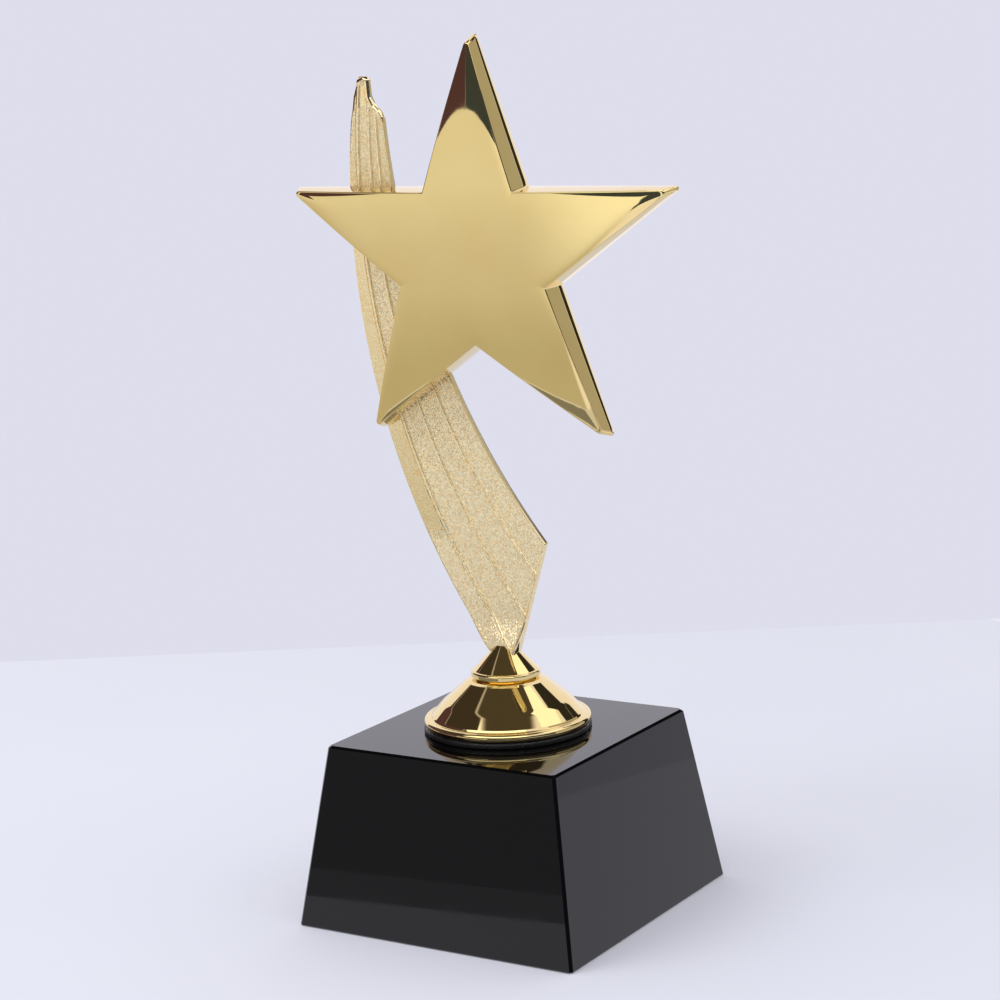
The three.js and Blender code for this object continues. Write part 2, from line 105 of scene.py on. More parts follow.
STAR_POINTS = 5
STAR_TIP_RADIUS = 55.7
STAR_NOTCH_RADIUS = 21.35
STAR_TURN = math.radians(-0.45)
STAR_CENTRE_X = 0.6
STAR_CENTRE_Z = 166.4
STAR_BACK_Y = -2
STAR_LEAN = math.radians(2.3)
STAR_DEPTH = 9.9
STAR_FACE_RADIUS = 291
STAR_DRAFT = 0.57
STAR_WALL = 2
STAR_LEDGE = 1.1
COVER_THICKNESS = 1.5
STAR_SCREWS = {"star_screw_upper": (-30.4, 175), "star_screw_lower": (-18.6, 141)}
SCREW_RADIUS = 1.45
SCREW_HEAD_RADIUS = 2.8
SCREW_HEAD_HEIGHT = 1.8
SCREW_BITE = 4.2
BOSS_RADIUS = 3.2

FIGURE = Matrix.Rotation(FIGURE_TURN, 4, "Z")
STAR = (
    FIGURE
    @ Matrix.Translation((STAR_CENTRE_X, STAR_BACK_Y, STAR_CENTRE_Z))
    @ Matrix.Rotation(math.pi / 2 + STAR_LEAN, 4, "X")
)

# ------------------------------------------------------------------------------------ mesh building


def mesh_piece(name, surface, place=Matrix.Identity(4), crease=35):
    """An object from (points, faces) in millimetres. Edges that bend by more than crease degrees stay
    sharp."""
    points, faces = surface
    world = (np.asarray(points) @ np.array(place.to_3x3()).T + np.array(place.translation)) * MM
    mesh = bpy.data.meshes.new(name)
    mesh.from_pydata(world.tolist(), [], faces)
    mesh.shade_smooth()
    mesh.set_sharp_from_angle(angle=math.radians(crease))
    piece = bpy.data.objects.new(name, mesh)
    bpy.context.scene.collection.objects.link(piece)
    return piece


def joined(*surfaces):
    """Several (points, faces) surfaces as one."""
    points = []
    faces = []
    for more_points, more_faces in surfaces:
        start = len(points)
        points.extend(np.asarray(more_points).tolist())
        faces.extend([start + corner for corner in face] for face in more_faces)
    return np.array(points), faces


def moved(surface, x, y):
    points, faces = surface
    return np.asarray(points) + (x, y, 0), faces


def loft(rings, closed=False, poles=None):
    """A skin over rings of points, an array of (ring, point, xyz), listed so that the outside is on the
    right. closed joins the last ring to the first; otherwise each end closes on a pole."""
    rings = np.asarray(rings, float)
    count, size = rings.shape[:2]
    points = rings.reshape(-1, 3)
    spans = np.arange(count if closed else count - 1)
    low = (spans * size)[:, None]
    high = ((spans + 1) % count * size)[:, None]
    here = np.arange(size)[None, :]
    ahead = (here + 1) % size
    quads = np.stack([low + here, low + ahead, high + ahead, high + here], -1).reshape(-1, 4)
    faces = quads.tolist()
    if not closed:
        bottom, top = poles if poles is not None else (rings[0].mean(0), rings[-1].mean(0))
        points = np.vstack([points, bottom, top])
        first, last = len(points) - 2, len(points) - 1
        start = (count - 1) * size
        for corner in range(size):
            after = (corner + 1) % size
            faces.append([first, after, corner])
            faces.append([last, start + corner, start + after])
    return points, faces


def rounded(corners, steps=5):
    """A closed outline of (x, y, fillet radius) corners as points, with each fillet an arc."""
    outline = []
    for index, (x, y, radius) in enumerate(corners):
        corner = np.array([x, y], float)
        if radius == 0:
            outline.append(corner)
            continue
        back = np.array(corners[index - 1][:2]) - corner
        ahead = np.array(corners[(index + 1) % len(corners)][:2]) - corner
        back = back / np.linalg.norm(back)
        ahead = ahead / np.linalg.norm(ahead)
        half = math.acos(np.clip(back @ ahead, -1, 1)) / 2
        middle = (back + ahead) / np.linalg.norm(back + ahead)
        centre = corner + middle * radius / math.sin(half)
        spoke = corner + back * radius / math.tan(half) - centre
        turn = math.copysign(math.pi - 2 * half, ahead[0] * back[1] - ahead[1] * back[0])
        for step in range(steps + 1):
            angle = turn * step / steps
            cos, sin = math.cos(angle), math.sin(angle)
            outline.append(centre + (spoke[0] * cos - spoke[1] * sin, spoke[0] * sin + spoke[1] * cos))
    return np.array(outline)


def lathe(outline, sides=160):
    """A closed outline of (radius, z) points turned about Z, listed anticlockwise."""
    outline = np.asarray(outline, float)
    angle = np.arange(sides) * TAU / sides
    return loft(ring_stack(outline, angle), closed=True)


def ring_stack(outline, angle):
    radius = outline[:, 0][:, None]
    height = outline[:, 1][:, None] * np.ones_like(angle)
    return np.stack([radius * np.cos(angle), radius * np.sin(angle), height], -1)


def turned_solid(outline, sides=96):
    """An outline of (radius, z) points that starts and ends on the axis, turned about Z."""
    outline = np.asarray(outline, float)
    angle = np.arange(sides) * TAU / sides
    poles = [(0, 0, outline[0, 1]), (0, 0, outline[-1, 1])]
    return loft(ring_stack(outline[1:-1], angle), poles=poles)


def smoothstep(value):
    value = np.clip(value, 0, 1)
    return value * value * (3 - 2 * value)


def finish_piece(piece, material, slot, *nodes):
    """Gives a piece its material and body, and hides the CAD nodes that it stands for. The slot is not
    used.
    """
    piece.data.materials.append(material)
    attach(piece, "root")
    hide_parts(*nodes)


# ----------------------------------------------------------------------------------------- materials


# The Mix node has a socket of each type under one name, so its colour sockets go by number.
MIX_FIRST = 6
MIX_SECOND = 7
MIX_RESULT = 2


class Nodes:
    """Short calls for building a node tree. A value is a number, a colour or another node's output."""

    def __init__(self, tree):
        self.tree = tree

    def node(self, kind, **settings):
        made = self.tree.nodes.new(kind)
        for key, value in settings.items():
            setattr(made, key, value)
        return made

    def join(self, source, target):
        self.tree.links.new(source, target)

    def fill(self, socket, value):
        if isinstance(value, (int, float)):
            socket.default_value = value
        elif isinstance(value, tuple):
            socket.default_value = (*value, 1)
        else:
            self.join(value, socket)

    def math(self, operation, *values):
        made = self.node("ShaderNodeMath", operation=operation)
        for value, socket in zip(values, made.inputs):
            self.fill(socket, value)
        return made.outputs[0]

    def blend(self, factor, first, second):
        """One colour into another by the factor."""
        made = self.node("ShaderNodeMix", data_type="RGBA")
        self.join(factor, made.inputs["Factor"])
        self.fill(made.inputs[MIX_FIRST], first)
        self.fill(made.inputs[MIX_SECOND], second)
        return made.outputs[MIX_RESULT]


class Shading(Nodes):
    """A material's node tree with its Principled shader."""

    def __init__(self, name):
        self.material = bpy.data.materials.new(name)
        self.material.use_nodes = True
        super().__init__(self.material.node_tree)
        self.shader = self.tree.nodes["Principled BSDF"]
        self.place = self.node("ShaderNodeTexCoord").outputs["Object"]

    def set(self, **values):
        for key, value in values.items():
            self.shader.inputs[key.replace("_", " ")].default_value = value

    def noise(self, grain_mm, detail=3, stretch=(1, 1, 1)):
        """Noise whose features are about grain_mm across."""
        mapping = self.node("ShaderNodeMapping")
        mapping.inputs["Scale"].default_value = [part / (grain_mm * MM) for part in stretch]
        self.join(self.place, mapping.inputs["Vector"])
        texture = self.node("ShaderNodeTexNoise")
        texture.inputs["Scale"].default_value = 1
        texture.inputs["Detail"].default_value = detail
        self.join(mapping.outputs["Vector"], texture.inputs["Vector"])
        return texture.outputs["Fac"]

    def spread(self, source, low, high, start=0.35, end=0.65):
        """The source stretched from start..end to low..high."""
        mapped = self.node("ShaderNodeMapRange")
        mapped.inputs["From Min"].default_value = start
        mapped.inputs["From Max"].default_value = end
        mapped.inputs["To Min"].default_value = low
        mapped.inputs["To Max"].default_value = high
        self.join(source, mapped.inputs["Value"])
        return mapped.outputs["Result"]

    def bump(self, height, depth_mm):
        made = self.node("ShaderNodeBump")
        made.inputs["Strength"].default_value = 1
        made.inputs["Distance"].default_value = depth_mm * MM
        self.join(height, made.inputs["Height"])
        return made.outputs["Normal"]


GOLD = (0.87, 0.7, 0.335)
GOLD_DEEP = (0.83, 0.63, 0.27)
GLITTER_DARK = (0.95, 0.69, 0.35)
GLITTER_LIGHT = (1.0, 0.94, 0.66)
GRAIN_SIZE = 0.3
GRAIN_TILT = 0.55  # how far the facets turn where the grain is strongest
GRAIN_METALLIC = 0.5  # part matt, in place of the light that grain too fine to model would scatter
GRAIN_METALLIC_FROM = 0.6  # the grain's strength from which it is as matt as it gets


def polished_gold():
    """Bright plating: almost a mirror, with faint wiping marks and a trace of orange peel."""
    gold = Shading("polished_gold")
    gold.set(Metallic=1.0)
    cloud = gold.spread(gold.noise(14), 0, 0.4)
    gold.join(gold.blend(cloud, GOLD, GOLD_DEEP), gold.shader.inputs["Base Color"])
    smear = gold.noise(5, 4, stretch=(1, 1, 0.3))
    gold.join(gold.spread(smear, 0.02, 0.045), gold.shader.inputs["Roughness"])
    gold.join(gold.bump(gold.noise(2.4, 1), 0.003), gold.shader.inputs["Normal"])
    return gold.material


def glitter_gold():
    """Plating over a sand-cast surface: tiny facets, each turned its own way, where the grain is strong,
    and smooth metal where there is none."""
    gold = Shading("glitter_gold")
    grain = gold.node("ShaderNodeAttribute", attribute_name="grain").outputs["Fac"]
    metallic = gold.spread(grain, 1, GRAIN_METALLIC, 0, GRAIN_METALLIC_FROM)
    gold.join(metallic, gold.shader.inputs["Metallic"])
    facets = gold.node("ShaderNodeTexVoronoi")
    facets.inputs["Scale"].default_value = 1 / (GRAIN_SIZE * MM)
    gold.join(gold.place, facets.inputs["Vector"])
    centred = gold.node("ShaderNodeVectorMath", operation="SUBTRACT")
    centred.inputs[1].default_value = (0.5, 0.5, 0.5)
    gold.join(facets.outputs["Color"], centred.inputs[0])
    tilt = gold.node("ShaderNodeVectorMath", operation="SCALE")
    gold.join(centred.outputs["Vector"], tilt.inputs[0])
    gold.join(gold.math("MULTIPLY", grain, GRAIN_TILT), tilt.inputs["Scale"])
    added = gold.node("ShaderNodeVectorMath", operation="ADD")
    gold.join(gold.node("ShaderNodeNewGeometry").outputs["Normal"], added.inputs[0])
    gold.join(tilt.outputs["Vector"], added.inputs[1])
    straight = gold.node("ShaderNodeVectorMath", operation="NORMALIZE")
    gold.join(added.outputs["Vector"], straight.inputs[0])
    gold.join(straight.outputs["Vector"], gold.shader.inputs["Normal"])
    gold.join(gold.spread(grain, 0.1, 0.28, 0, 1), gold.shader.inputs["Roughness"])
    tint = gold.spread(gold.noise(0.4, 2), 0, 1)
    gold.join(gold.blend(tint, GLITTER_DARK, GLITTER_LIGHT), gold.shader.inputs["Base Color"])
    return gold.material


def black_glass():
    """Black optical glass: deep black under a clear polish with light smears."""
    glass = Shading("black_glass")
    glass.set(Base_Color=(0.001, 0.001, 0.0013, 1), IOR=1.5)
    smear = glass.noise(16, 5, stretch=(1, 0.6, 1.5))
    glass.join(glass.spread(smear, 0.012, 0.06), glass.shader.inputs["Roughness"])
    glass.join(glass.bump(glass.noise(30, 1), 0.004), glass.shader.inputs["Normal"])
    return glass.material


def black_rubber():
    rubber = Shading("black_rubber")
    rubber.set(IOR=1.5)
    grain = rubber.noise(0.5, 4)
    rubber.join(rubber.blend(grain, (0.002, 0.002, 0.003), (0.009, 0.009, 0.01)),
                rubber.shader.inputs["Base Color"])
    rubber.join(rubber.spread(rubber.noise(1.5), 0.25, 0.6), rubber.shader.inputs["Roughness"])
    rubber.join(rubber.bump(grain, 0.12), rubber.shader.inputs["Normal"])
    return rubber.material


def plain_steel():
    """Zinc-plated steel with fine turning marks and dulled patches."""
    steel = Shading("plain_steel")
    steel.set(Metallic=1.0)
    patches = steel.noise(3, 4)
    steel.join(steel.blend(patches, (0.62, 0.63, 0.65), (0.42, 0.43, 0.45)),
               steel.shader.inputs["Base Color"])
    steel.join(steel.spread(patches, 0.22, 0.42), steel.shader.inputs["Roughness"])
    steel.join(steel.bump(steel.noise(0.25, 2), 0.01), steel.shader.inputs["Normal"])
    return steel.material


def dark_felt():
    """Pressed felt: matted fibres with a soft sheen."""
    felt = Shading("dark_felt")
    felt.set(Roughness=0.95, Sheen_Weight=0.5, Sheen_Roughness=0.5)
    fibres = felt.noise(0.35, 6, stretch=(1, 3, 1))
    felt.join(felt.blend(fibres, (0.008, 0.008, 0.01), (0.035, 0.035, 0.042)),
              felt.shader.inputs["Base Color"])
    felt.join(felt.bump(fibres, 0.4), felt.shader.inputs["Normal"])
    return felt.material


def table_top():
    """A pale lacquered table."""
    table = Shading("table_top")
    table.set(IOR=1.5, Roughness=0.1)
    cloud = table.noise(180, 2)
    table.join(table.blend(cloud, (0.66, 0.67, 0.76), (0.72, 0.73, 0.81)),
               table.shader.inputs["Base Color"])
    table.join(table.spread(table.noise(25, 4), 0.07, 0.13), table.shader.inputs["Roughness"])
    return table.material


# -------------------------------------------------------------------------------------------- plinth

PLINTH_SIDE_STEPS = 12
HOLE_CHAMFER = 0.25


def square_ring(half, corner, z):
    """Points round a square with its corners cut to the given width on each side."""
    along = np.linspace(-half + corner, half - corner, PLINTH_SIDE_STEPS + 1)
    edge = np.full_like(along, half)
    sides = [(along, -edge), (edge, along), (-along, edge), (-edge, -along)]
    x = np.concatenate([side[0] for side in sides])
    y = np.concatenate([side[1] for side in sides])
    return np.stack([x, y, np.full_like(x, z)], -1)


def hole_ring(radius, z):
    """Points round a circle that match a square ring's points one to one."""
    square = square_ring(1, 1 / PLINTH_SIDE_STEPS, 0)
    angle = np.arctan2(square[:, 1], square[:, 0])
    return np.stack([radius * np.cos(angle), radius * np.sin(angle), np.full_like(angle, z)], -1)


def plinth():
    slope = (PLINTH_BOTTOM_HALF - PLINTH_TOP_HALF) / PLINTH_HEIGHT
    corner = PLINTH_EDGE_CUT * math.sqrt(2)
    foot_z = PLINTH_FOOT_CHAMFER / (1 + slope)
    rim_z = PLINTH_HEIGHT - PLINTH_RIM_CHAMFER / (1 - slope)
    return loft([
        square_ring(PLINTH_BOTTOM_HALF - PLINTH_FOOT_CHAMFER, corner, 0),
        square_ring(PLINTH_BOTTOM_HALF - slope * foot_z, corner, foot_z),
        square_ring(PLINTH_BOTTOM_HALF - slope * rim_z, corner, rim_z),
        square_ring(PLINTH_TOP_HALF - PLINTH_RIM_CHAMFER, corner, PLINTH_HEIGHT),
        hole_ring(ROD_HOLE_RADIUS + HOLE_CHAMFER, PLINTH_HEIGHT),
        hole_ring(ROD_HOLE_RADIUS, PLINTH_HEIGHT - HOLE_CHAMFER),
        hole_ring(ROD_HOLE_RADIUS, COUNTERBORE_DEPTH),
        hole_ring(COUNTERBORE_RADIUS, COUNTERBORE_DEPTH),
        hole_ring(COUNTERBORE_RADIUS, HOLE_CHAMFER),
        hole_ring(COUNTERBORE_RADIUS + HOLE_CHAMFER, 0),
    ], closed=True)


# ------------------------------------------------------------------------------------------ hardware

THREAD_PITCH = 1.0
THREAD_DEPTH = 0.3
THREAD_CREST_POWER = 1.3  # above 1 it widens the crest
THREAD_SIDES = 40
THREAD_ROW_STEP = 0.125
ROD_END_CHAMFER = 0.7
WASHER_BORE_RADIUS = 3.3
WASHER_EDGE = 0.2
STACK_GROWTH = 0.3  # closes the CAD's clearance to the piece above
SPRING_EDGE = 0.15
SPRING_STEP = 0.1  # how far one end of the spring washer steps up and the other down
SPRING_GAP = math.radians(6)
NUT_HALF_FLAT = 5
NUT_BORE_RADIUS = 2.8
NUT_BORE_CHAMFER = 0.6
NUT_CORNER_HEIGHT = 0.8
NUT_CONE_INSET = 0.25
NUT_CONE_SLOPE = 1.8
NUT_SIDES = 96
PLUG_GAP = 0.05
PLUG_EDGE = 0.35
PLUG_RELIEF = 0.03


def tie_rod():
    """The threaded rod, with the crests of its thread rounded and its lower end chamfered."""
    low, high = box_mm("tie_rod")
    angle = np.arange(THREAD_SIDES) * TAU / THREAD_SIDES
    rings = []
    for z in np.arange(low.z, high.z, THREAD_ROW_STEP):
        phase = (z / THREAD_PITCH - angle / TAU) % 1
        radius = high.x - THREAD_DEPTH * (1 - np.abs(2 * phase - 1)) ** THREAD_CREST_POWER
        radius = np.minimum(radius, high.x - ROD_END_CHAMFER + (z - low.z))
        rings.append(flat_ring(radius, angle, z))
    return loft(rings)


def flat_ring(radius, angle, z):
    """Points round a level ring whose radius may change with the angle."""
    return np.stack([radius * np.cos(angle), radius * np.sin(angle), np.full_like(angle, z)], -1)


def washer(node):
    """A flat ring with eased edges, grown upwards to touch the piece above it."""
    low, high = box_mm(node)
    top = high.z + STACK_GROWTH
    return lathe(rounded([
        (WASHER_BORE_RADIUS, low.z, WASHER_EDGE), (high.x, low.z, WASHER_EDGE),
        (high.x, top, WASHER_EDGE), (WASHER_BORE_RADIUS, top, WASHER_EDGE),
    ]))


def spring_washer():
    """A split ring whose ends step past each other."""
    low, high = box_mm("spring_washer")
    bottom = low.z + SPRING_STEP
    top = high.z + STACK_GROWTH - SPRING_STEP
    section = rounded([
        (WASHER_BORE_RADIUS, bottom, SPRING_EDGE), (high.x, bottom, SPRING_EDGE),
        (high.x, top, SPRING_EDGE), (WASHER_BORE_RADIUS, top, SPRING_EDGE),
    ], 3)
    radius = section[:, 0]
    split = math.pi / 2
    rings = []
    for turn in np.linspace(split + SPRING_GAP, split + TAU - SPRING_GAP, 90):
        height = section[:, 1] + SPRING_STEP * math.cos((turn - split) / 2)
        rings.append(np.stack([radius * math.cos(turn), radius * math.sin(turn), height], -1))
    return loft(rings[::-1])


def hex_nut():
    """A hexagon nut: the corners of both faces are turned down to a cone, and the bore is chamfered."""
    low, high = box_mm("hex_nut")
    top = high.z + STACK_GROWTH
    angle = np.arange(NUT_SIDES) * TAU / NUT_SIDES
    inside = NUT_HALF_FLAT / np.cos((angle + math.pi / 6) % (math.pi / 3) - math.pi / 6)
    lower = np.linspace(low.z, low.z + NUT_CORNER_HEIGHT, 6)
    upper = np.linspace(top - NUT_CORNER_HEIGHT, top, 6)
    rings = []
    for z in [*lower, *upper]:
        cone = NUT_HALF_FLAT - NUT_CONE_INSET + NUT_CONE_SLOPE * min(z - low.z, top - z)
        rings.append(flat_ring(np.minimum(inside, cone), angle, z))
    mouth = NUT_BORE_RADIUS + NUT_BORE_CHAMFER
    for radius, z in [
        (mouth, top), (NUT_BORE_RADIUS, top - NUT_BORE_CHAMFER),
        (NUT_BORE_RADIUS, low.z + NUT_BORE_CHAMFER), (mouth, low.z),
    ]:
        rings.append(flat_ring(radius, angle, z))
    return loft(rings, closed=True)


def felt_plug():
    """A disc of felt with a slack, slightly uneven surface."""
    low, high = box_mm("felt_plug")
    radius = COUNTERBORE_RADIUS - PLUG_GAP
    sides = 128
    angle = np.arange(sides) * TAU / sides
    shares = np.linspace(0.08, 0.96, 22)
    outline = [(share * radius, low.z) for share in shares]
    outline += [(radius, low.z + PLUG_EDGE), (radius, high.z - PLUG_EDGE)]
    outline += [(share * radius, high.z) for share in shares[::-1]]
    rings = ring_stack(np.array(outline), angle)
    uneven = random.normal(0, PLUG_RELIEF, rings.shape[:2])
    rings[..., 2] += np.clip(uneven, -2 * PLUG_RELIEF, 2 * PLUG_RELIEF)
    return loft(rings, poles=[(0, 0, low.z), (0, 0, high.z)])


# ---------------------------------------------------------------------------------------------- foot

COLLAR_EDGE_RADIUS = 8.8
COLLAR_BOTTOM_Z = BELL_TOP_Z - 0.1
COLLAR_TOP_Z = 67.9
COLLAR_NECK_RADIUS = 2.2
COLLAR_TIP_RADIUS = 0.4
COLLAR_EDGE_TOP_Z = COLLAR_BOTTOM_Z + 2.1
ROD_BORE_RADIUS = 3.3
ROD_BORE_TOP_Z = 64
SPIGOT_GAP = 0.05
BELL_BEAD_HEIGHT = 2.3
BELL_FLARE = (1.75, 2.15)  # in from the rim and up from the bottom
BELL_CONE_FOOT = (2.05, 2.75)
BELL_WAIST = (16.4, 53.6, 12)  # radius, z and the curve's radius
BELL_SHOULDER = (10.1, 58.9)
BELL_TOP_RADIUS = 9.2
BELL_FOOT_WIDTH = 4
GASKET_INSET = 0.08
GASKET_BULGE = 0.0018
GASKET_BULGE_FROM = 20  # the radius from which the gasket's edge is uneven
GASKET_BULGE_OVER = 1.5
GASKET_WAVES = range(5, 40)  # waves round the ring


def foot_gasket():
    """The rubber ring, squeezed a little unevenly between the bell and the glass."""
    sides = 240
    angle = np.arange(sides) * TAU / sides
    reach = GASKET_RADIUS - GASKET_INSET
    outline = rounded([
        (GASKET_BORE_RADIUS, PLINTH_HEIGHT, 0.1), (reach, PLINTH_HEIGHT, 0.45),
        (reach, BELL_BOTTOM_Z, 0.6), (GASKET_BORE_RADIUS, BELL_BOTTOM_Z, 0.1),
    ])
    rings = ring_stack(outline, angle)
    wave = np.zeros(sides)
    for turns in GASKET_WAVES:
        wave += math.sqrt(1 / turns) * np.cos(turns * angle + random.uniform(0, TAU))
    outer = smoothstep((outline[:, 0] - GASKET_BULGE_FROM) / GASKET_BULGE_OVER)
    bulge = 1 + GASKET_BULGE * wave * outer[:, None]
    rings[..., 0] *= bulge
    rings[..., 1] *= bulge
    return loft(rings, closed=True)


def bell_foot():
    """The spun bell: a bead round the rim, a short flare, a long cone and a rounded shoulder."""
    rim = BELL_RIM_RADIUS
    bottom = BELL_BOTTOM_Z
    bore = SPIGOT_RADIUS
    waist, waist_z, curve = BELL_WAIST
    shoulder, shoulder_z = BELL_SHOULDER
    outside = [
        (rim - BELL_FOOT_WIDTH, bottom, 0.2), (rim, bottom, 1.1), (rim, bottom + BELL_BEAD_HEIGHT, 1.1),
        (rim - BELL_FLARE[0], bottom + BELL_FLARE[1], 0.35),
        (rim - BELL_CONE_FOOT[0], bottom + BELL_CONE_FOOT[1], 0.3),
        (waist, waist_z, curve), (shoulder, shoulder_z, 0.8), (BELL_TOP_RADIUS, BELL_TOP_Z, 0.3),
        (bore, BELL_TOP_Z, 0),
    ]
    inside = [
        (bore, BELL_TOP_Z - BELL_WALL, 0), (shoulder - BELL_WALL, shoulder_z - BELL_WALL, 1),
        (waist - BELL_WALL, waist_z - BELL_WALL, curve), (rim - BELL_FOOT_WIDTH, bottom + 2.6, 0.5),
    ]
    return lathe(rounded(outside + inside, 9), sides=256)


def collar():
    """The turned cone under the ribbon: a rolled lower edge, a cone and a neck, with the spigot below."""
    low, _ = box_mm("ribbon_column")
    edge = COLLAR_EDGE_RADIUS
    spigot = SPIGOT_RADIUS - SPIGOT_GAP
    return lathe(rounded([
        (ROD_BORE_RADIUS, low.z, 0.2), (spigot, low.z, 0.5), (spigot, COLLAR_BOTTOM_Z, 0),
        (edge - 1, COLLAR_BOTTOM_Z, 0.4), (edge, COLLAR_BOTTOM_Z + 0.8, 0.5),
        (edge, COLLAR_EDGE_TOP_Z, 0.6), (edge - 0.6, COLLAR_EDGE_TOP_Z + 0.25, 0.15),
        (COLLAR_NECK_RADIUS, COLLAR_TOP_Z, 0.2), (COLLAR_TIP_RADIUS, COLLAR_TOP_Z, 0),
        (COLLAR_TIP_RADIUS, ROD_BORE_TOP_Z, 0), (ROD_BORE_RADIUS, ROD_BORE_TOP_Z, 0),
    ], 7), sides=192)


# -------------------------------------------------------------------------------------------- ribbon

GRAIN_DEPTH = 0.03
RIB_WIDTH = 1.1
BAND_DEPTH = 0.45
LEFT_FACET_SLOPE = math.tan(math.radians(9))
LEFT_FACET_START = 0.3  # the facet's depth beside the first rib, as a share of the bands' depth
ROW_STEP = 0.28
BAND_COLUMNS = 22
RIB_COLUMNS = 8
BORDER_COLUMNS = 3
COLUMN_GAP = 0.05  # between the columns that gather at the right edge
BACK_COLUMN_STEP = 6  # the plain back takes every sixth column
BORDER = 0.55
LOW_BORDER = 0.8  # the border along the ribbon's slanted foot
EDGE_ROUND = 0.35
BACK_EDGE_SHARE = 0.8
END_ROUND = 0.7  # how much rounder the edges get at the ribbon's end
END_ROUND_FROM_Z = 199
END_ROUND_OVER = 5
END_FACET_Z = 206
END_FACET_SLOPE = 0.35
END_BORDER = 2.2  # where the raised border along the end has fallen away
END_BORDER_SLOPE = 1.2
OUT_OF_REACH = 9  # farther than anything that a distance is measured for
NARROWEST = 0.3

# Where the grain fades, as a height and the stretch above or below it.
FACET_GRAIN = 0.06  # what is left of the grain on the middle of the left facet
FACET_GRAIN_UP = (181, 6)
FACET_GRAIN_TOP = (203, 4)
FACET_GRAIN_DOWN = (99, 10)
GRAIN_TOP = (204.5, 2)
RIB_GRAIN = 0.4  # the share of the grain on the ribs' crests
RIB_CREST = 0.35  # half the crest's width, as a share of half the rib's
GRAIN_FREE_EDGE = (0.3, 0.5)


def arc_x(arc, z):
    """How far left an arc reaches at a height."""
    x, centre_z, radius = arc
    return x - np.sqrt(radius**2 - (z - centre_z) ** 2)


def end_line():
    """The ribbon's stepped end as (x, z) points, from its right corner up to the apex."""
    corner = arc_x(RIBBON_RIGHT_EDGE, RIBBON_RIGHT_TOP_Z)
    steps = [(0, 0), *RIBBON_END, RIBBON_APEX]
    return [(corner + across, RIBBON_RIGHT_TOP_Z + up) for across, up in steps]


def ribbon_side(anchors):
    """Turns (x, z) anchors into a function from a height to x."""
    xs = [x for x, _ in anchors]
    zs = [z for _, z in anchors]
    return lambda z: np.interp(z, zs, xs)


def ribbon_limits(z):
    """The ribbon's left and right limits at each height."""
    end = end_line()
    low = ribbon_side([
        (RIBBON_ROOT_LEFT, RIBBON_ROOT_Z),
        (arc_x(RIBBON_LEFT_EDGE, RIBBON_LEFT_ROOT_Z), RIBBON_LEFT_ROOT_Z),
    ])
    left_top = (arc_x(RIBBON_LEFT_EDGE, RIBBON_LEFT_TOP_Z), RIBBON_LEFT_TOP_Z)
    left_end = ribbon_side([left_top, end[-1]])
    left = np.where(z < RIBBON_LEFT_ROOT_Z, low(z), arc_x(RIBBON_LEFT_EDGE, z))
    left = np.where(z > RIBBON_LEFT_TOP_Z, left_end(z), left)
    corner = (arc_x(RIBBON_RIGHT_EDGE, RIBBON_CORNER_Z), RIBBON_CORNER_Z)
    below = ribbon_side([(RIBBON_ROOT_RIGHT, RIBBON_ROOT_Z), corner])
    above = ribbon_side(end)
    right = np.where(z < RIBBON_CORNER_Z, below(z), arc_x(RIBBON_RIGHT_EDGE, z))
    return left, np.where(z > RIBBON_RIGHT_TOP_Z, above(z), right)


def softened(values, reach):
    """Values averaged over a few neighbours on each side, ends kept."""
    width = 2 * reach + 1
    padded = np.pad(values, reach, mode="edge")
    return np.convolve(padded, np.ones(width) / width, mode="valid")


def column_places(z, left, right):
    """Where each column of the front surface stands in each row: columns follow the ribs, and those that
    run out at the right edge gather beside it."""
    lines = [left, left + BORDER]
    counts = [BORDER_COLUMNS]
    for arc in RIBBON_RIBS:
        centre = arc_x(arc, z)
        lines += [centre - RIB_WIDTH / 2, centre + RIB_WIDTH / 2]
        counts += [BAND_COLUMNS, RIB_COLUMNS]
    lines += [right - BORDER, right]
    counts += [BAND_COLUMNS, BORDER_COLUMNS]
    last = len(lines) - 2
    places = [left]
    before = left
    for index, count in enumerate(counts):
        line = lines[index + 1]
        if index + 1 <= last:
            line = np.minimum(line, right - BORDER - COLUMN_GAP * (last - index - 1))
        for step in range(1, count + 1):
            places.append(before + (line - before) * step / count)
        before = line
    return np.stack(places, -1)


def fade_in(value, start, stretch):
    """0 up to start, then easing to 1 over a stretch."""
    return smoothstep((value - start) / stretch)


def fade_out(value, end, stretch):
    """1, easing to 0 over the stretch that comes before end."""
    return smoothstep((end - value) / stretch)


def grain_field(x, z):
    """How strong the cast grain is at each point, from 0 to 1."""
    on_facet = x < arc_x(RIBBON_RIBS[0], z) - RIB_WIDTH / 2
    up = fade_in(z, *FACET_GRAIN_UP) * fade_out(z, *FACET_GRAIN_TOP)
    down = fade_out(z, *FACET_GRAIN_DOWN)
    facet = FACET_GRAIN + (1 - FACET_GRAIN) * np.maximum(up, down)
    grain = np.where(on_facet, facet, 1.0)
    for arc in RIBBON_RIBS:
        near = np.abs(x - arc_x(arc, z)) / (RIB_WIDTH / 2)
        grain = grain * (RIB_GRAIN + (1 - RIB_GRAIN) * smoothstep(near - RIB_CREST))
    return grain * fade_out(z, *GRAIN_TOP)


